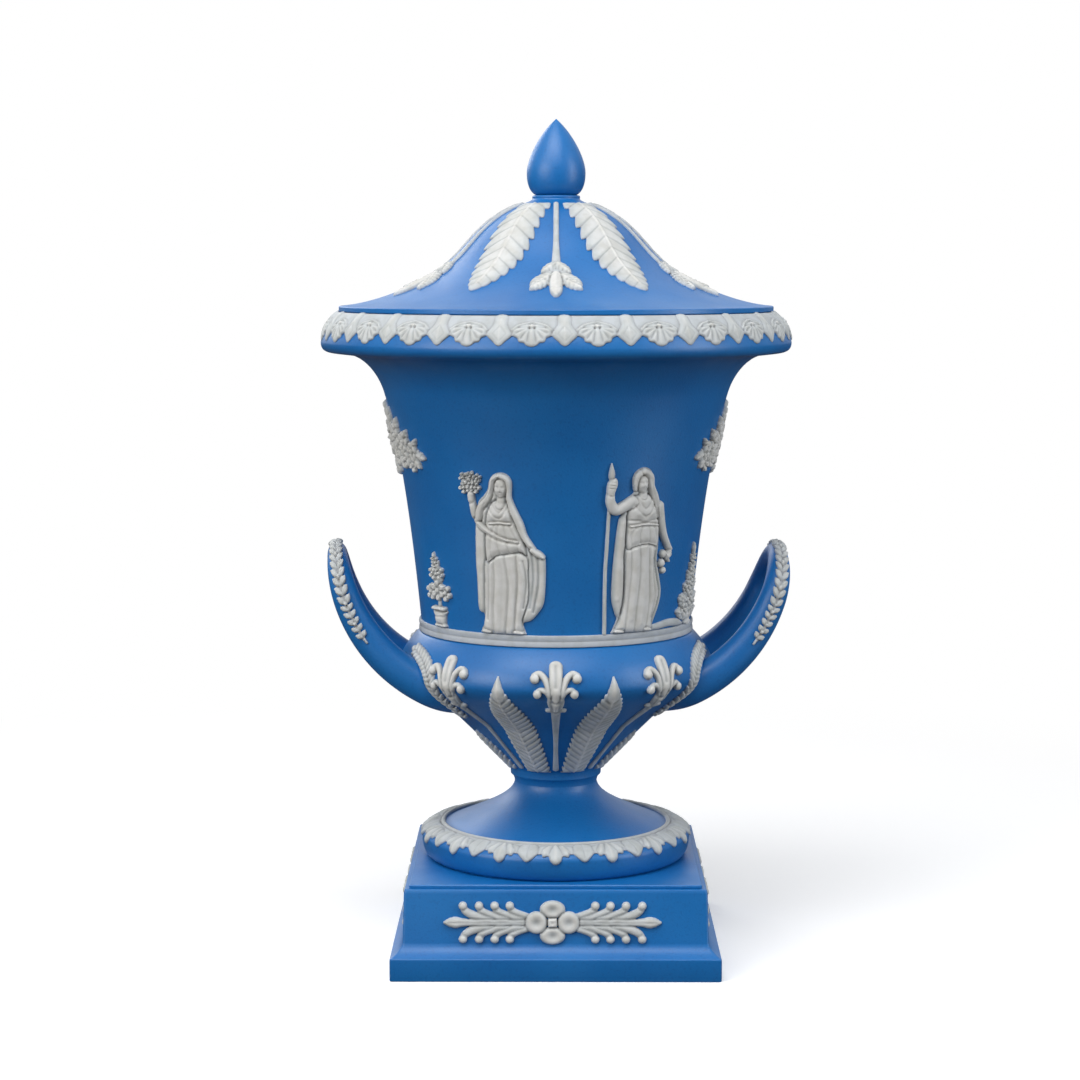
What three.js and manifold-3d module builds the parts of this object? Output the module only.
// A covered urn of campana shape in two-colour stoneware: a blue body in eight castings, white reliefs
// cast apart and applied to it, and the bolt that holds bowl, foot and plinth together.
// Millimetres, +Z up, the front faces -Y. Origin: the middle of the plinth's underside.

import * as THREE from 'three';
import { mergeVertices } from 'three/addons/utils/BufferGeometryUtils.js';
import Module from 'manifold-3d';

const wasm = await Module();
wasm.setup();

// Clearances between pieces
const seat = 0.3; // a relief, a handle or the lid above what carries it
const boltPlay = 0.8; // bolt in its bores
const lidPlay = 1.2; // locating ring in the mouth
const spigotPlay = 0.3; // knob's spigot in its socket

// Plinth
const plinthWidth = 127.2;
const slabHeight = 9;
const coveHeight = 5;
const coveInset = 4.8;
const dieHeight = 19.4;
const dieTaper = 0.5;
const arrisSize = 1.4;
const tileInset = 1;
const tileHeight = 1.4;
const plinthWall = 9;
const plinthRoof = 10;

// Foot
const footContactRadius = 50.4;
const footRimRadius = 53.9;
const footRimHeight = 8;
const footShoulderRadius = 43.6;
const footShoulderHeight = 13.1;
const footHeight = 29.8;
const neckRadius = 16.5;
const footWall = 6;
const footCeilingHeight = 15;

// Vase: bowl and barrel
const collarCove = 3;
const collarRadius = 18.2;
const collarHeight = 3.5;
const bowlConeRadius = 39.7;
const bowlConeHeight = 20.9;
const bowlRadius = 63;
const bowlEquatorHeight = 40.5;
const bowlHeight = 55.3;
const waistRadius = 54;
const bandHeight = 4.7;
const barrelHeight = 90.3;
const throatRadius = 68.3;
const flareHeight = 15.9;
const rimRadius = 93.1;
const rimHeight = 15.7;
const rimUndercut = 3.3; // the underside's edge, inside the widest ring
const soffitWidth = 7.8; // the rim's flat underside
const rimTopInset = 7.6;
const lipWidth = 11.5; // the rim's flat top
const vaseWall = 5;
const vaseFloorRadius = 16;
const vaseFloorThickness = 16;

// Lid and knob
const lidOverhang = 0.4; // the flange beyond the rim's flat top
const flangeThickness = 2.1;
const domeHeight = 40.7;
const domeWaistRadius = 41;
const domeWaistHeight = 18.5;
const crownRadius = 11.2;
const crownTopRadius = 9.3;
const crownHeight = 2.6;
const lidWall = 5;
const lidRingDepth = 6.5;
const lidRingWall = 4;
const knobRadius = 11.6;
const knobShoulderRadius = 8;
const knobBellyHeight = 8.8;
const knobHeight = 29.9;
const spigotRadius = 3.7;
const spigotLength = 9;

// Handles: half loops wrapped on an upright cylinder across the urn
const handleArcX = 23;
const handleArcZ = 160;
const handleTopReach = 63.7;
const handleRootReach = 58.5;
const handleRootAngle = 72;
const handleArchRadius = 19;
const handleRootSpread = 26;
const handleRootTuck = 6; // an arm's foot turns in to the bowl
const handleTopHalfWidth = 4.3;
const handleRootHalfWidth = 8.2;
const handleTopHalfThickness = 5.2;
const handleRootHalfThickness = 6.8;
const garlandTurn = 70; // from the handle's outer edge towards its side

// Reliefs
const reliefEdge = 0.35; // thickness at a blade's edge
const borderSeat = 0.45; // clearance under a border, whose facets cross those of the skin
const borderThickness = 1.1;
const bandProud = 0.55;
const stand = 0.6; // foot of a relief above the ledge that it stands on
const rimLeafCount = 24;
const rimBorderDepth = 10.6;
const rimLeafDrop = 3.2;
const footLeafCount = 15;
const footBorderInset = 0.9; // its top edge below the shoulder, where the neck begins
const footBorderDrop = 10.2;
const footLeafDrop = 2.3;
const lidReliefCount = 5;
const lidReliefTopHeight = 1.2; // below the crown
const lidLeafTipHeight = 7.6; // above the flange
const lidStemTipHeight = 5.6;
const lidLeafHalfWidth = 7.6;
const lidStemHalfWidth = 0.9;
const bowlLeafHalfWidth = 5.6;
const bowlStemHalfWidth = 1.1;
const bowlLeafTopDrop = 9.6; // leaf tips below the waist
const bowlPalmetteTopDrop = 5.2;
const rootLeafLength = 24;
const bunchHalfWidth = 42;
const bunchHalfHeight = 15.5;
const bunchDrop = 13; // its middle below the throat
const figureHeight = 65;
const pottedPlantHeight = 32;
const rosetteReach = 8.2;
const plinthSprayReach = 42;

// Where the applied reliefs stand round the urn, in degrees from the front
const handleTurn = 3;
const rimTurn = -5.5;
const friezeTurn = 7.5;
const figureAngle = 26;
const potAngle = 62;
const sprayTurn = 2;
const sprayAngle = 55.5;
const bowlPalmetteAngles = [-41.5, 0, 41.5];
const bowlLeafAngles = [-20.5, 20.5];
const rootLeafAngles = [-61.5, 61.5];

// Bolt and its washers
const boltRadius = 4;
const headRadius = 9;
const headHeight = 5;
const corkRadius = 11;
const corkThickness = 2;
const nutRadius = 7.5;
const nutHeight = 6.5;
const nutWasherRadius = 10;
const nutWasherThickness = 1.6;
const boltEnd = 2; // shank beyond the nut

// Facets round a turned piece
const turnedSides = 32;
const smallSides = 16;
const knobSides = 20;

// Radii of the rim and of what fits it
const rimUnderRadius = rimRadius - rimUndercut;
const flareRadius = rimUnderRadius - soffitWidth;
const rimTopRadius = rimRadius - rimTopInset;
const mouthRadius = rimTopRadius - lipWidth;
const lidRadius = rimTopRadius + lidOverhang;

// Heights, from the ground up
const dieBase = slabHeight + coveHeight;
const dieTop = dieBase + dieHeight;
const plinthHeight = dieTop + arrisSize + tileHeight;
const vaseBase = plinthHeight + footHeight;
const bowlBase = vaseBase + collarCove + collarHeight;
const bowlEquator = bowlBase + bowlEquatorHeight;
const waist = bowlBase + bowlHeight;
const barrelBase = waist + bandHeight;
const throat = barrelBase + barrelHeight;
const rimUnder = throat + flareHeight;
const rimTop = rimUnder + rimHeight;
const lidBase = rimTop + seat;
const flangeTop = lidBase + flangeThickness;
const crownBase = flangeTop + domeHeight;
const knobBase = crownBase + crownHeight;
const plinthRoofBottom = plinthHeight - plinthRoof;
const vaseFloor = vaseBase + vaseFloorThickness;
const joint = waist + bandHeight / 2; // bowl and barrel meet behind the ground band

const blue = new THREE.MeshStandardMaterial({ color: 0x2f66ad, roughness: 0.75, metalness: 0 });
const white = new THREE.MeshStandardMaterial({ color: 0xdedfdc, roughness: 0.8, metalness: 0 });
const steel = new THREE.MeshStandardMaterial({ color: 0x8d9196, roughness: 0.35, metalness: 1 });
const cork = new THREE.MeshStandardMaterial({ color: 0xa87c4f, roughness: 0.9, metalness: 0 });

const point = (radius, height) => new THREE.Vector2(radius, height);
const mix = THREE.MathUtils.lerp;
const degrees = THREE.MathUtils.degToRad;

// Solids: joining and cutting

function toSolid(geometry) {
  const bare = geometry.clone();
  bare.deleteAttribute('normal');
  bare.deleteAttribute('uv');
  const merged = mergeVertices(bare);
  const corners = merged.index.array;
  const triangles = [];
  for (let i = 0; i < corners.length; i += 3) {
    const [a, b, c] = corners.slice(i, i + 3);
    if (a !== b && b !== c && c !== a) triangles.push(a, b, c);
  }
  const vertProperties = merged.attributes.position.array;
  return new wasm.Manifold(new wasm.Mesh({ numProp: 3, vertProperties, triVerts: Uint32Array.from(triangles) }));
}

function toGeometry(solid) {
  const mesh = solid.getMesh();
  const geometry = new THREE.BufferGeometry();
  geometry.setAttribute('position', new THREE.BufferAttribute(mesh.vertProperties.slice(), 3));
  geometry.setIndex([...mesh.triVerts]);
  return geometry;
}

function join(...geometries) {
  return toGeometry(geometries.map(toSolid).reduce((whole, part) => whole.add(part)));
}

function cut(geometry, tool) {
  return toGeometry(toSolid(geometry).subtract(toSolid(tool)));
}

// Outlines in the half plane of radius and height, made of straight and curved stretches

const line = (radius, height) => () => [point(radius, height)];

const curve = (steps, control1, control2, end) => (from) =>
  new THREE.CubicBezierCurve(from, control1, control2, end).getPoints(steps).slice(1);

function outline(start, ...stretches) {
  const points = [start];
  for (const stretch of stretches) points.push(...stretch(points.at(-1)));
  return points;
}

function turned(points, sides = turnedSides) {
  return new THREE.LatheGeometry(points, sides).rotateX(Math.PI / 2);
}

// The outer skin of a turned piece: where a relief lies, measured across and up along the skin. Its breaks
// are the lengths along it at which one facet meets the next.
class Skin {
  constructor(points) {
    this.points = points;
    this.breaks = [0];
    for (let i = 1; i < points.length; i++) {
      this.breaks.push(this.breaks[i - 1] + points[i].distanceTo(points[i - 1]));
    }
    this.normals = points.map((_, i) => {
      const before = points[Math.max(i - 1, 0)];
      const after = points[Math.min(i + 1, points.length - 1)];
      return point(after.y - before.y, before.x - after.x).normalize();
    });
  }

  // The length along the skin at a height, for a skin that climbs all the way
  lengthAt(height) {
    const i = Math.max(1, this.points.findIndex((p) => p.y >= height));
    const share = (height - this.points[i - 1].y) / (this.points[i].y - this.points[i - 1].y);
    return mix(this.breaks[i - 1], this.breaks[i], share);
  }

  // The place of a point of a relief that faces the front, lifted off the skin
  place(across, along, lift) {
    const beyond = this.breaks.findIndex((end) => end >= along);
    const i = beyond < 0 ? this.points.length - 1 : Math.max(1, beyond);
    const share = (along - this.breaks[i - 1]) / (this.breaks[i] - this.breaks[i - 1]);
    const foot = this.points[i - 1].clone().lerp(this.points[i], share);
    const normal = this.normals[i - 1].clone().lerp(this.normals[i], THREE.MathUtils.clamp(share, 0, 1)).normalize();
    const angle = across / foot.x;
    const radius = foot.x + normal.x * lift;
    return new THREE.Vector3(radius * Math.sin(angle), -radius * Math.cos(angle), foot.y + normal.y * lift);
  }
}

// A closed solid through rings of as many points each, wound round the way that the rings run
function loft(rings) {
  const count = rings[0].length;
  const last = (rings.length - 1) * count;
  const index = [];
  for (let ring = 0; ring < rings.length - 1; ring++) {
    for (let i = 0; i < count; i++) {
      const a = ring * count + i;
      const b = ring * count + ((i + 1) % count);
      index.push(a, b, a + count, b, b + count, a + count);
    }
  }
  for (let i = 1; i < count - 1; i++) {
    index.push(0, i + 1, i);
    index.push(last, last + i, last + i + 1);
  }
  return new THREE.BufferGeometry().setFromPoints(rings.flat()).setIndex(index);
}

// Stations put in where a blade crosses a break between two facets of the skin, so that it lies on both
function followBreaks(stations, breaks) {
  const spacing = 1.2;
  const refined = [stations[0]];
  for (const next of stations.slice(1)) {
    const from = refined.at(-1);
    const crossed = breaks.filter((along) => (along - from[1]) * (next[1] - along) > 0
      && Math.abs(along - from[1]) > spacing && Math.abs(along - next[1]) > spacing);
    if (next[1] < from[1]) crossed.reverse();
    for (const along of crossed) {
      const share = (along - from[1]) / (next[1] - from[1]);
      refined.push(from.map((value, i) => mix(value, next[i], share)));
    }
    refined.push(next);
  }
  return refined;
}

// A relief blade along a line on a surface; a station is [across, along, half width, rise]
function blade(surface, stations) {
  const refined = followBreaks(stations, surface.breaks);
  const rings = refined.map(([across, along, halfWidth, rise], i) => {
    const before = refined[Math.max(i - 1, 0)];
    const after = refined[Math.min(i + 1, refined.length - 1)];
    const run = point(after[0] - before[0], after[1] - before[1]).normalize().multiplyScalar(halfWidth);
    return [
      surface.place(across - run.y, along + run.x, seat + reliefEdge),
      surface.place(across, along, seat + rise),
      surface.place(across + run.y, along - run.x, seat + reliefEdge),
      surface.place(across, along, seat),
    ];
  });
  return loft(rings);
}

// A long leaf with a toothed edge, from its base up or down the skin to its tip
function toothedLeaf(surface, from, to, halfWidth, teeth, widest) {
  const stations = [];
  for (let i = 0; i <= 2 * teeth; i++) {
    const share = i / (2 * teeth);
    const swell = share < widest ? mix(0.55, 1, Math.sin((share / widest) * (Math.PI / 2)))
      : Math.cos(((share - widest) / (1 - widest)) * (Math.PI / 2) * 0.93);
    const notch = i % 2 === 0 ? 0.78 : 1;
    stations.push([0, mix(from, to, share), halfWidth * swell * notch, mix(1.5, 0.8, share)]);
  }
  return blade(surface, stations);
}

// A border round a skin whose lower edge hangs in leaves, big and small by turns
function scallopedRing(skin, top, edge, leafDrop, leafCount) {
  const columns = 4 * leafCount;
  const breaks = skin.breaks.filter((along) => along > edge - leafDrop + 0.5 && along < top - 0.5);
  const rings = [];
  for (let column = 0; column < columns; column++) {
    const bottom = edge - [leafDrop, 0, 0.75 * leafDrop, 0][column % 4];
    const climb = [bottom, ...breaks.map((along, i) => Math.max(along, bottom + 0.3 * (i + 1))), top];
    const outer = climb.map((along) => [along, borderSeat + borderThickness]);
    const inner = climb.toReversed().map((along) => [along, borderSeat]);
    const ring = [...outer, ...inner];
    const turn = new THREE.Matrix4().makeRotationZ((2 * Math.PI * column) / columns);
    rings.push(ring.map(([along, lift]) => skin.place(0, along, lift).applyMatrix4(turn)));
  }
  const count = rings[0].length;
  const index = [];
  for (let column = 0; column < columns; column++) {
    const next = (column + 1) % columns;
    for (let i = 0; i < count; i++) {
      const j = (i + 1) % count;
      const [a, b, c, d] = [column * count + i, column * count + j, next * count + i, next * count + j];
      index.push(a, c, b, b, c, d);
    }
  }
  return new THREE.BufferGeometry().setFromPoints(rings.flat()).setIndex(index);
}

// Skins of the blue body

const footOutline = outline(
  point(footContactRadius, plinthHeight),
  curve(3, point(footContactRadius + 2.4, plinthHeight + 0.6), point(footRimRadius, plinthHeight + 3.6),
    point(footRimRadius, plinthHeight + footRimHeight)),
  curve(4, point(footRimRadius, plinthHeight + footRimHeight + 3), point(footShoulderRadius + 5.6,
    plinthHeight + footShoulderHeight - 0.3), point(footShoulderRadius, plinthHeight + footShoulderHeight)),
  curve(5, point(footShoulderRadius - 13.6, plinthHeight + footShoulderHeight + 5.9),
    point(neckRadius + 1, vaseBase - 6.3), point(neckRadius, vaseBase)),
);

const collarOutline = outline(
  point(neckRadius, vaseBase),
  line(neckRadius + 0.4, vaseBase + collarCove - 1),
  line(collarRadius, vaseBase + collarCove),
  line(collarRadius, bowlBase - 0.5),
);

const bowlOutline = outline(
  point(collarRadius + 0.4, bowlBase),
  line(bowlConeRadius, bowlBase + bowlConeHeight),
  curve(4, point(bowlConeRadius + 10.3, bowlBase + bowlConeHeight + 7.6), point(bowlRadius, bowlEquator - 6),
    point(bowlRadius, bowlEquator)),
  curve(4, point(bowlRadius, bowlEquator + 5.5), point(waistRadius + 4.5, waist - 4),
    point(waistRadius + 1, waist - 0.4)),
);

const barrelOutline = outline(
  point(waistRadius, barrelBase),
  curve(6, point(waistRadius + 2.8, barrelBase + 0.326 * barrelHeight),
    point(throatRadius - 6.8, throat - 0.241 * barrelHeight), point(throatRadius, throat)),
  curve(3, point(throatRadius + 2, throat + 6.7), point(flareRadius - 6.5, rimUnder - 2.2),
    point(flareRadius, rimUnder - 0.9)),
);

const rimOutline = outline(
  point(rimUnderRadius, rimUnder),
  curve(2, point(rimRadius - 1, rimUnder + 0.4), point(rimRadius, rimUnder + 1.6), point(rimRadius, rimUnder + 3.9)),
  curve(3, point(rimRadius - 0.5, rimUnder + 7.5), point(rimTopRadius + 4.3, rimTop - 2.9),
    point(rimTopRadius, rimTop)),
);

const lidOutline = outline(
  point(lidRadius, flangeTop),
  curve(5, point(lidRadius - 15.8, flangeTop + 1.2), point(domeWaistRadius + 9.5, flangeTop + domeWaistHeight - 8.8),
    point(domeWaistRadius, flangeTop + domeWaistHeight)),
  curve(5, point(domeWaistRadius - 8, flangeTop + domeWaistHeight + 7.2),
    point(mix(crownRadius, domeWaistRadius, 0.6), crownBase - 6), point(crownRadius, crownBase)),
);

const footSkin = new Skin(footOutline);
const bowlSkin = new Skin(bowlOutline);
const barrelSkin = new Skin(barrelOutline);
const rimSkin = new Skin(rimOutline);
const lidSkin = new Skin(lidOutline);

// The inside of a thrown wall: its outer outline moved in by the wall, every third point
function insideOf(points, wall) {
  const { normals } = new Skin(points);
  return points.map((p, i) => p.clone().addScaledVector(normals[i], -wall)).filter((_, i) => i % 3 === 1);
}

// Blue body

function squareMoulding(points) {
  const corners = points.map((p) => point(p.x * Math.SQRT2, p.y));
  return new THREE.LatheGeometry(corners, 4).rotateX(Math.PI / 2).rotateZ(Math.PI / 4);
}

function bore(radius, bottom, top) {
  return new THREE.CylinderGeometry(radius, radius, top - bottom, smallSides)
    .rotateX(Math.PI / 2).translate(0, 0, (bottom + top) / 2);
}

function plinth() {
  const half = plinthWidth / 2;
  const dieHalf = half - coveInset;
  const topHalf = dieHalf - dieTaper;
  const points = outline(
    point(0, plinthRoofBottom),
    line(half - plinthWall, plinthRoofBottom),
    line(half - plinthWall, 0),
    line(half, 0),
    line(half, slabHeight),
    curve(4, point(half - 0.6, slabHeight + 0.9), point(dieHalf + 0.5, dieBase - 2.6), point(dieHalf, dieBase)),
    line(topHalf, dieTop),
    line(topHalf - 0.3, dieTop + arrisSize * 0.7),
    line(topHalf - tileInset, dieTop + arrisSize),
    line(topHalf - 2 * tileInset, dieTop + arrisSize),
    line(topHalf - 2 * tileInset, plinthHeight),
    line(0, plinthHeight),
  );
  const hole = bore(boltRadius + boltPlay, plinthRoofBottom - 1, plinthHeight + 1);
  return cut(squareMoulding(points), hole);
}

function foot() {
  const boreRadius = boltRadius + boltPlay;
  const hollowRadius = footShoulderRadius - footWall;
  const points = [
    ...footOutline,
    point(boreRadius, vaseBase),
    point(boreRadius, plinthHeight + footCeilingHeight),
    point(neckRadius - footWall, plinthHeight + footCeilingHeight),
    point(hollowRadius, plinthHeight + footShoulderHeight - footWall),
    point(hollowRadius, plinthHeight),
    footOutline[0],
  ];
  return turned(points);
}

function bowl() {
  const boreRadius = boltRadius + boltPlay;
  const inner = insideOf(bowlOutline, vaseWall).filter((p) => p.x > vaseFloorRadius + 4 && p.y > vaseFloor + 2);
  const points = [
    point(boreRadius, vaseBase),
    ...collarOutline,
    ...bowlOutline,
    point(waistRadius, waist),
    point(waistRadius, joint),
    point(waistRadius - vaseWall, joint),
    ...inner.reverse(),
    point(vaseFloorRadius, vaseFloor),
    point(boreRadius, vaseFloor),
    point(boreRadius, vaseBase),
  ];
  return turned(points);
}

function barrel() {
  const inner = insideOf(barrelOutline, vaseWall).filter((p) => p.x < mouthRadius - vaseWall);
  const points = [
    point(waistRadius - vaseWall, joint),
    point(waistRadius, joint),
    ...barrelOutline,
    ...rimOutline,
    point(mouthRadius, rimTop),
    point(mouthRadius, rimUnder + 2),
    ...inner.reverse(),
    point(waistRadius - vaseWall, joint),
  ];
  return turned(points);
}

function lid() {
  const ringRadius = mouthRadius - lidPlay;
  const ringInside = ringRadius - lidRingWall;
  const ringBottom = lidBase - lidRingDepth;
  const socketRadius = spigotRadius + spigotPlay;
  const ceiling = crownBase - lidWall - spigotLength;
  const inner = insideOf(lidOutline, lidWall).filter((p) => p.x < ringInside - 1 && p.x > socketRadius + lidWall);
  const points = [
    point(0, knobBase - spigotLength - spigotPlay),
    point(socketRadius, knobBase - spigotLength - spigotPlay),
    point(socketRadius, knobBase),
    point(crownTopRadius, knobBase),
    ...lidOutline.toReversed(),
    point(lidRadius, lidBase),
    point(ringRadius, lidBase),
    point(ringRadius, ringBottom),
    point(ringInside, ringBottom),
    ...inner,
    point(0, ceiling),
  ];
  return turned(points.reverse());
}

function knob() {
  const points = outline(
    point(0, knobBase - spigotLength),
    line(spigotRadius, knobBase - spigotLength),
    line(spigotRadius, knobBase),
    line(knobShoulderRadius, knobBase),
    curve(4, point(knobRadius - 1, knobBase + 1.4), point(knobRadius, knobBase + 4.8),
      point(knobRadius, knobBase + knobBellyHeight)),
    curve(6, point(knobRadius, knobBase + knobBellyHeight + 5.6), point(knobRadius - 5.1, knobBase + knobHeight - 5.5),
      point(0, knobBase + knobHeight)),
  );
  return turned(points, knobSides);
}

// Handles

// The handle's middle line: distance down from the arch's top, and spread to either side of it
function handleRoute() {
  const rootRun = degrees(handleRootAngle) * handleTopReach;
  const route = [];
  const archSteps = 8;
  for (let i = 1; i < archSteps; i++) {
    const turn = (Math.PI * i) / archSteps;
    route.push([handleArchRadius * (1 - Math.sin(turn)), -handleArchRadius * Math.cos(turn)]);
  }
  const armSteps = 5;
  for (let i = 0; i <= armSteps; i++) {
    const share = i / armSteps;
    const run = mix(handleArchRadius, rootRun, share);
    const spread = mix(handleArchRadius, handleRootSpread, share) - handleRootTuck * Math.max(0, share * 5 - 4) ** 2;
    route.unshift([run, -spread]);
    route.push([run, spread]);
  }
  return { route, rootRun };
}

function handleFrame(run, spread, rootRun) {
  const share = run / rootRun;
  const angle = run / handleTopReach;
  const reach = mix(handleTopReach, handleRootReach, share);
  const outward = new THREE.Vector3(Math.cos(angle), 0, -Math.sin(angle));
  const middle = new THREE.Vector3(handleArcX, spread, handleArcZ).addScaledVector(outward, reach);
  const halfWidth = mix(handleTopHalfWidth, handleRootHalfWidth, Math.sqrt(share));
  const halfThickness = mix(handleTopHalfThickness, handleRootHalfThickness, share);
  return { middle, outward, halfWidth, halfThickness };
}

// Frames along the whole right-hand handle, front root to back root
function handleFrames() {
  const { route, rootRun } = handleRoute();
  const frames = route.map(([run, spread]) => handleFrame(run, spread, rootRun));
  frames.forEach((frame, i) => {
    const before = frames[Math.max(i - 1, 0)].middle;
    const after = frames[Math.min(i + 1, frames.length - 1)].middle;
    const along = after.clone().sub(before).normalize();
    frame.normal = frame.outward.clone().addScaledVector(along, -frame.outward.dot(along)).normalize();
    frame.side = along.clone().cross(frame.normal).negate();
  });
  return frames;
}

function handleRing({ middle, normal, side, halfWidth, halfThickness }) {
  const ring = [];
  const sides = 8;
  for (let i = 0; i < sides; i++) {
    const turn = (-2 * Math.PI * i) / sides;
    ring.push(middle.clone().addScaledVector(normal, halfWidth * Math.cos(turn))
      .addScaledVector(side, halfThickness * Math.sin(turn)));
  }
  return ring;
}

// The root's blind end, deep inside the bowl, where the bowl cuts it off
function rootEnd(frame) {
  const middle = new THREE.Vector3(bowlConeRadius * 0.7, Math.sign(frame.middle.y) * handleRootSpread * 0.7,
    frame.middle.z + 2);
  return { ...frame, middle, halfWidth: frame.halfWidth * 0.7, halfThickness: frame.halfThickness * 0.7 };
}

function handle() {
  const frames = handleFrames();
  const ended = [rootEnd(frames[0]), ...frames, rootEnd(frames.at(-1))];
  const blank = loft(ended.map(handleRing));
  const clear = bowlSkin.points.map((p, i) => p.clone().addScaledVector(bowlSkin.normals[i], seat));
  const envelope = turned([point(0, bowlBase), ...clear, point(0, waist)]);
  return cut(blank, envelope);
}

// The garland lies beside the handle's outer edge, over the arch and part way down both arms
function garland() {
  const frames = handleFrames().slice(3, -3);
  const rings = frames.map((frame, i) => {
    const halfWidth = i % 2 === 0 ? 0.5 : 0.78;
    const { middle, normal, side, halfWidth: wide, halfThickness: thick } = frame;
    const at = (turn, lift) => middle.clone().addScaledVector(normal, (wide + lift) * Math.cos(turn))
      .addScaledVector(side, (thick + lift) * Math.sin(turn));
    const centre = degrees(garlandTurn);
    return [at(centre + halfWidth, seat + reliefEdge), at(centre, seat + 1.1), at(centre - halfWidth, seat + reliefEdge),
      at(centre, 1.5 * seat)];
  });
  return loft(rings);
}

// White reliefs

function rimBorder() {
  const top = rimSkin.breaks.at(-1) - 0.4;
  return scallopedRing(rimSkin, top, top - rimBorderDepth + rimLeafDrop, rimLeafDrop, rimLeafCount);
}

function footBorder() {
  const top = footSkin.lengthAt(plinthHeight + footShoulderHeight) - footBorderInset;
  return scallopedRing(footSkin, top, top - footBorderDrop, footLeafDrop, footLeafCount);
}

function groundBand() {
  const inner = waistRadius + seat;
  const outer = inner + bandProud;
  return turned([
    point(inner, waist + 0.1),
    point(outer, waist + 0.1),
    point(outer, barrelBase),
    point(inner, barrelBase),
    point(inner, waist + 0.1),
  ]);
}

function lidLeaf() {
  const from = lidSkin.lengthAt(crownBase - lidReliefTopHeight);
  const to = lidSkin.lengthAt(flangeTop + lidLeafTipHeight);
  return toothedLeaf(lidSkin, from, to, lidLeafHalfWidth, 5, 0.55);
}

function lidStem() {
  const from = lidSkin.lengthAt(crownBase - lidReliefTopHeight);
  const to = lidSkin.lengthAt(flangeTop + lidStemTipHeight);
  const w = lidStemHalfWidth;
  const stem = blade(lidSkin, [[0, from, w, 1], [0, to + 10, 1.6 * w, 1.1], [0, to + 2.6, 2.6, 1.5], [0, to, 0.6, 0.8]]);
  const leaf = (side, across, start, end, wide) =>
    blade(lidSkin, [[side * w * 0.5, to + start, w, 1], [side * across * 0.6, to + mix(start, end, 0.5), wide, 1.3],
      [side * across, to + end, 0.5, 0.7]]);
  const small = blade(lidSkin, [[-4.8, to + 12.4, 1, 1], [0, to + 11, 1.4, 1.2], [4.8, to + 12.4, 1, 1]]);
  return join(stem, small, leaf(1, 11, 8.5, 4, 2.4), leaf(-1, 11, 8.5, 4, 2.4));
}

function bowlPalmette() {
  const top = bowlSkin.lengthAt(waist - bowlPalmetteTopDrop);
  const w = bowlStemHalfWidth;
  const middle = blade(bowlSkin, [[0, stand, 1.4 * w, 1.1], [0, top - 16, w, 1.1], [0, top - 12, 1.8 * w, 1.4],
    [0, top - 3, 2.6, 1.8], [0, top, 0.9, 0.9]]);
  const curl = (side, rise, reach) =>
    blade(bowlSkin, [[side * 0.8, top - 13.6 + rise, 1, 1.2], [side * reach * 0.7, top - 9.2 + rise, 1.9, 1.6],
      [side * reach, top - 11.6 + rise, 1.4, 1.1]]);
  return join(middle, curl(1, 3.4, 9.2), curl(-1, 3.4, 9.2), curl(1, -1.8, 7.8), curl(-1, -1.8, 7.8));
}

function bowlLeaf() {
  return toothedLeaf(bowlSkin, stand, bowlSkin.lengthAt(waist - bowlLeafTopDrop), bowlLeafHalfWidth, 6, 0.5);
}

function rootLeaf() {
  return toothedLeaf(bowlSkin, stand, rootLeafLength, bowlLeafHalfWidth * 0.65, 3, 0.5);
}

// The spray climbs the bowl in front of a handle's root
function rootSpray() {
  const heights = [-16, -12.5, -9, -5.5, -2, 1.5, 4.5, 7];
  const lean = [-0.6, 0.4, 1.2, 1.6, 1.3, 0.2, -2.2, -6.4];
  const stations = heights.map((height, i) =>
    [lean[i], bowlSkin.lengthAt(bowlEquator + height), i % 2 === 0 ? 1.2 : 2.3, 1.2]);
  return blade(bowlSkin, stations);
}

// Blades on the barrel, drawn for one height and scaled to another
function raisedFromBarrel(parts, drawnHeight, height) {
  const scaled = (stations) => stations.map((station) => station.map((value) => value * (height / drawnHeight)));
  return join(...parts.map((stations) => blade(barrelSkin, scaled(stations))));
}

// Standing figure in a robe and veil, with flowers in the raised hand and the cloak held out
function veiledFigure() {
  const body = [[-2.8, stand, 9.2, 1.8], [-2.8, 5, 8, 2.2], [-0.4, 9.5, 11.8, 2.5], [0.1, 14, 13.2, 2.7],
    [0.6, 28.5, 13.9, 2.8], [-1.8, 34, 11.2, 2.6], [-3.2, 44, 9.2, 2.6], [-3.9, 51, 7.2, 2.3], [-2, 56.5, 4.7, 2.7],
    [-1.6, 60.5, 4.2, 2.6], [-1.3, 63.3, 1.6, 1.6]];
  const raisedArm = [[-8.5, 50, 2.1, 2.5], [-11.6, 45.6, 1.9, 2.3], [-13.6, 53.3, 1.5, 2]];
  const flowers = [[-13.8, 53, 1.8, 2], [-14.1, 57.8, 5, 2.5], [-14, 62.4, 2.4, 1.6]];
  const loweredArm = [[2, 50, 2.1, 2.4], [6.4, 41, 1.9, 2.2], [13.4, 31, 1.5, 1.8]];
  return raisedFromBarrel([body, raisedArm, flowers, loweredArm], 65, figureHeight);
}

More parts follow.
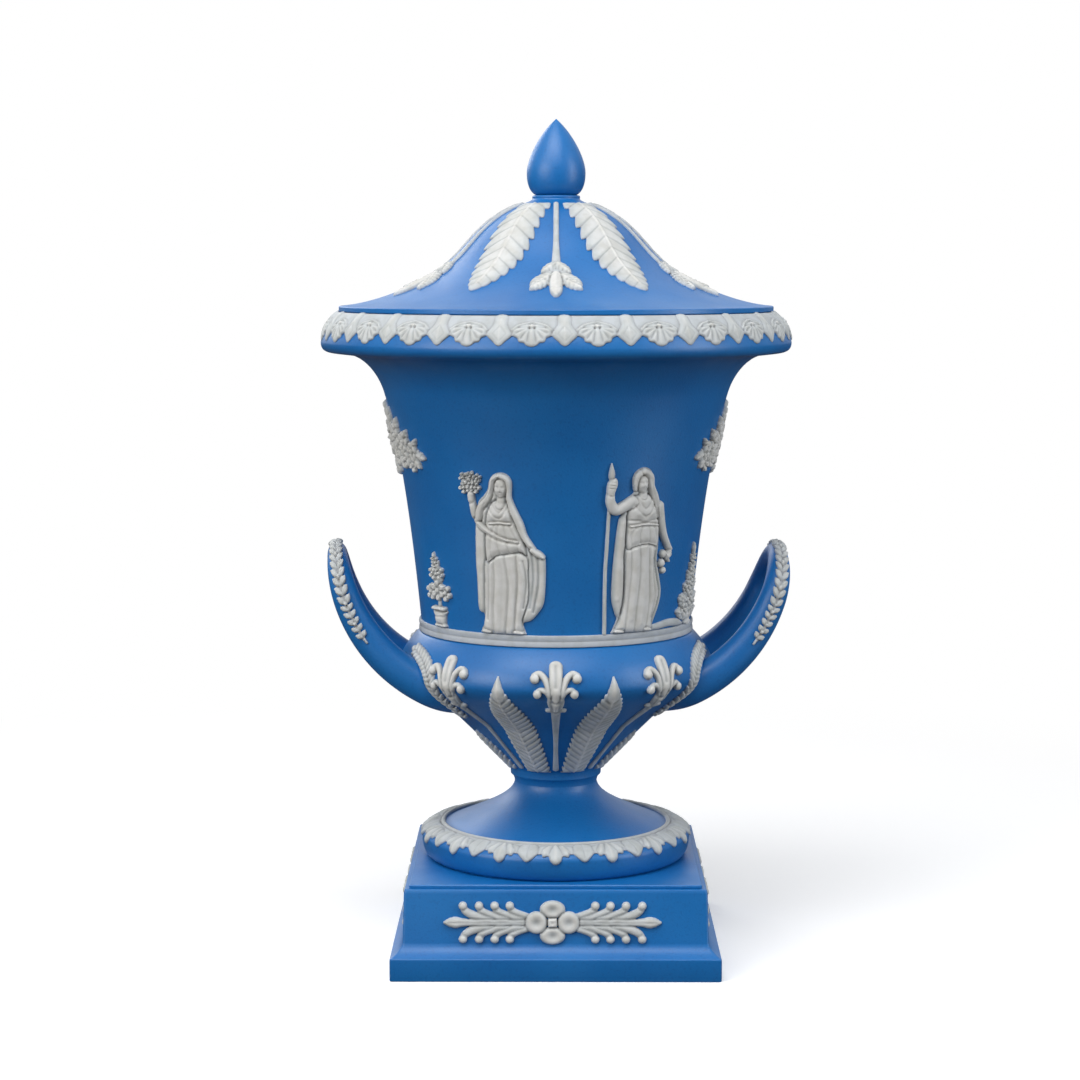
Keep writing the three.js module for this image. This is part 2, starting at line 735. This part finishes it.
// Standing figure in a robe and hood, with a spear in the raised hand and fruit in the lowered one
function spearFigure() {
  const body = [[0, stand, 9.1, 1.8], [0, 6, 8.8, 2.4], [0.6, 14, 11.5, 2.8], [-1.2, 29, 9.8, 2.8],
    [-0.9, 36, 9.9, 2.6], [-0.6, 44, 9.4, 2.6], [0.2, 48, 7.8, 2.6], [0, 52.5, 6.8, 2.4], [-0.5, 55.6, 4.6, 2.5],
    [-1.3, 59.5, 4.5, 2.9], [-1.4, 62.8, 3.2, 2.4], [-1.5, 64.8, 1.2, 1.5]];
  const raisedArm = [[-6, 50.5, 2.1, 2.4], [-11.6, 48.2, 2, 2.3], [-14.1, 57.5, 1.7, 1.9]];
  const spear = [[-12.9, stand, 0.8, 1.2], [-14.1, 30, 0.8, 1.2], [-14.4, 48, 0.8, 1.2], [-14.6, 62, 1.3, 1.2],
    [-15.3, 66.8, 0.5, 0.9]];
  const loweredArm = [[7, 49.4, 2.1, 2.4], [10.2, 40, 1.9, 2.2], [14.6, 31.6, 1.6, 1.9]];
  const fruit = [[14.6, 31, 2, 1.8], [12, 27.6, 3, 2.2], [11.4, 22.9, 1.8, 1.4]];
  return raisedFromBarrel([body, raisedArm, spear, loweredArm, fruit], 65, figureHeight);
}

function pottedPlant() {
  const pot = [[0, stand, 3, 1.5], [0, 1.6, 2.6, 1.6], [0, 6.4, 3.6, 1.8], [0, 8.4, 4, 1.6]];
  const plant = [[0, 7.8, 0.9, 1.2], [0, 11.4, 1.6, 1.3], [0, 15.6, 6.6, 1.9], [0, 19.4, 3.2, 1.7], [0, 23.2, 4.2, 1.9],
    [-0.2, 26, 2.6, 1.6], [-0.4, 28.8, 3.4, 1.8], [-0.6, 32, 1.2, 1.1]];
  return raisedFromBarrel([pot, plant], 32, pottedPlantHeight);
}

// Leaves and flowers spreading from a middle flower, over a handle
function flowerBunch() {
  const middle = barrelSkin.lengthAt(throat - bunchDrop);
  const reach = [0, 0.24, 0.45, 0.68, 0.86, 1];
  const height = [1, 0.5, 0.66, 0.34, 0.42, 0.12];
  const stations = reach.map((share, i) =>
    [share * bunchHalfWidth, middle, height[i] * bunchHalfHeight, mix(2.4, 1, share)]);
  const toLeft = stations.slice(1).map(([across, ...rest]) => [-across, ...rest]).reverse();
  return blade(barrelSkin, [...toLeft, ...stations]);
}

// A rosette with leaf sprays to both sides, on a face of the die
function plinthOrnament() {
  const slope = dieTaper / dieHeight;
  const middle = dieBase + dieHeight * 0.42;
  const half = plinthWidth / 2 - coveInset - slope * (middle - dieBase);
  const onDie = {
    place: (across, along, lift) => new THREE.Vector3(across, -(half - slope * along + lift), middle + along),
    breaks: [],
  };
  const arm = rosetteReach;
  const reach = plinthSprayReach;
  const toRight = [[reach, 0, 0.5, 0.7], [reach * 0.85, 0, 2.1, 1.2], [reach * 0.6, 0, 1.5, 1.2], [arm, 0, 1.6, 1.2],
    [arm * 0.6, 0, 3.6, 1.6]];
  const toLeft = toRight.map(([across, ...rest]) => [-across, ...rest]).reverse();
  const upright = [[0, -arm, 1.8, 1.2], [0, -arm * 0.6, 3.6, 1.6], [0, 0, 1.6, 1.6], [0, arm * 0.6, 3.6, 1.6],
    [0, arm, 1.8, 1.2]];
  const pieces = [blade(onDie, [...toRight, [0, 0, 1.6, 1.6], ...toLeft]), blade(onDie, upright)];
  const frond = (side, rise, root, tip) =>
    blade(onDie, [[side * root, rise * 0.6, 0.7, 1.1], [side * tip, rise * 7.4, 1.7, 1.2]]);
  for (const side of [-1, 1]) {
    for (const rise of [-1, 1]) {
      for (const share of [0.34, 0.6]) pieces.push(frond(side, rise, share * reach, (share + 0.24) * reach));
    }
  }
  return join(...pieces);
}

// Fittings

const washer = (radius, inside, bottom, thickness) => turned([
  point(inside, bottom),
  point(radius, bottom),
  point(radius, bottom + thickness),
  point(inside, bottom + thickness),
  point(inside, bottom),
], smallSides);

const headBase = vaseFloor + corkThickness;
const nutCorkBase = plinthRoofBottom - corkThickness;
const nutWasherBase = nutCorkBase - nutWasherThickness;
const nutBase = nutWasherBase - nutHeight;

function bolt() {
  const shankBottom = nutBase - boltEnd;
  return turned([
    point(0, shankBottom),
    point(boltRadius - 0.8, shankBottom),
    point(boltRadius, shankBottom + 0.8),
    point(boltRadius, headBase),
    point(headRadius, headBase),
    point(headRadius, headBase + headHeight * 0.4),
    point(headRadius * 0.6, headBase + headHeight * 0.85),
    point(0, headBase + headHeight),
  ], smallSides);
}

function nut() {
  const blank = new THREE.CylinderGeometry(nutRadius, nutRadius, nutHeight, 6)
    .rotateX(Math.PI / 2).translate(0, 0, nutBase + nutHeight / 2);
  return cut(blank, bore(boltRadius + seat, nutBase - 1, nutBase + nutHeight + 1));
}

// The urn put together

const urn = new THREE.Group();

function put(parent, name, geometry, material, azimuth = 0) {
  const mesh = new THREE.Mesh(geometry, material);
  mesh.name = name;
  mesh.rotation.z = degrees(azimuth);
  parent.add(mesh);
}

put(urn, 'plinth', plinth(), blue);
put(urn, 'foot', foot(), blue);
put(urn, 'foot_border', footBorder(), white);

const ornament = plinthOrnament();
['front', 'right', 'back', 'left'].forEach((face, i) => put(urn, `plinth_ornament_${face}`, ornament, white, 90 * i));

// Bowl, barrel and handles were set a little round from the plinth's faces
const body = new THREE.Group();
body.rotation.z = degrees(handleTurn);
urn.add(body);
const loop = handle();
const trail = garland();
put(body, 'bowl', bowl(), blue);
put(body, 'barrel', barrel(), blue);
put(body, 'handle_right', loop, blue);
put(body, 'handle_left', loop, blue, 180);
put(body, 'garland_right', trail, white);
put(body, 'garland_left', trail, white, 180);
put(urn, 'rim_border', rimBorder(), white, rimTurn);
put(urn, 'ground_band', groundBand(), white);

const bunch = flowerBunch();
put(urn, 'bunch_right', bunch, white, 90);
put(urn, 'bunch_left', bunch, white, -90);

const spray = rootSpray();
const mirroredSpray = toGeometry(toSolid(spray).mirror([1, 0, 0]));
put(urn, 'spray_front_right', mirroredSpray, white, sprayTurn + sprayAngle);
put(urn, 'spray_front_left', spray, white, sprayTurn - sprayAngle);
put(urn, 'spray_back_left', mirroredSpray, white, 180 + sprayTurn + sprayAngle);
put(urn, 'spray_back_right', spray, white, 180 + sprayTurn - sprayAngle);

// Front and back carry the same reliefs, cast from the same moulds
const palmette = bowlPalmette();
const longLeaf = bowlLeaf();
const shortLeaf = rootLeaf();
const veiled = veiledFigure();
const spearBearer = spearFigure();
const plant = pottedPlant();
['front', 'back'].forEach((face, i) => {
  const facing = 180 * i;
  bowlPalmetteAngles.forEach((angle, k) => put(urn, `bowl_palmette_${face}_${k + 1}`, palmette, white, facing + angle));
  bowlLeafAngles.forEach((angle, k) => put(urn, `bowl_leaf_${face}_${k + 1}`, longLeaf, white, facing + angle));
  rootLeafAngles.forEach((angle, k) => put(urn, `root_leaf_${face}_${k + 1}`, shortLeaf, white, facing + angle));
  const frieze = facing + friezeTurn;
  put(urn, `figure_${face}_veiled`, veiled, white, frieze - figureAngle);
  put(urn, `figure_${face}_spear`, spearBearer, white, frieze + figureAngle);
  put(urn, `pot_${face}_left`, plant, white, frieze - potAngle);
  put(urn, `pot_${face}_right`, plant, white, frieze + potAngle);
});

// The lid with its knob and reliefs
const cover = new THREE.Group();
urn.add(cover);
put(cover, 'lid', lid(), blue);
put(cover, 'knob', knob(), blue);
const coverLeaf = lidLeaf();
const coverStem = lidStem();
for (let i = 0; i < lidReliefCount; i++) {
  const azimuth = (360 * i) / lidReliefCount;
  put(cover, `lid_stem_${i + 1}`, coverStem, white, azimuth);
  put(cover, `lid_leaf_${i + 1}`, coverLeaf, white, azimuth + 180 / lidReliefCount);
}

put(urn, 'bolt', bolt(), steel);
put(urn, 'head_cork', washer(corkRadius, boltRadius + seat, vaseFloor, corkThickness), cork);
put(urn, 'nut_cork', washer(nutWasherRadius, boltRadius + seat, nutCorkBase, corkThickness), cork);
put(urn, 'nut_washer', washer(nutWasherRadius, boltRadius + seat, nutWasherBase, nutWasherThickness), steel);
put(urn, 'nut', nut(), steel);

export default urn;
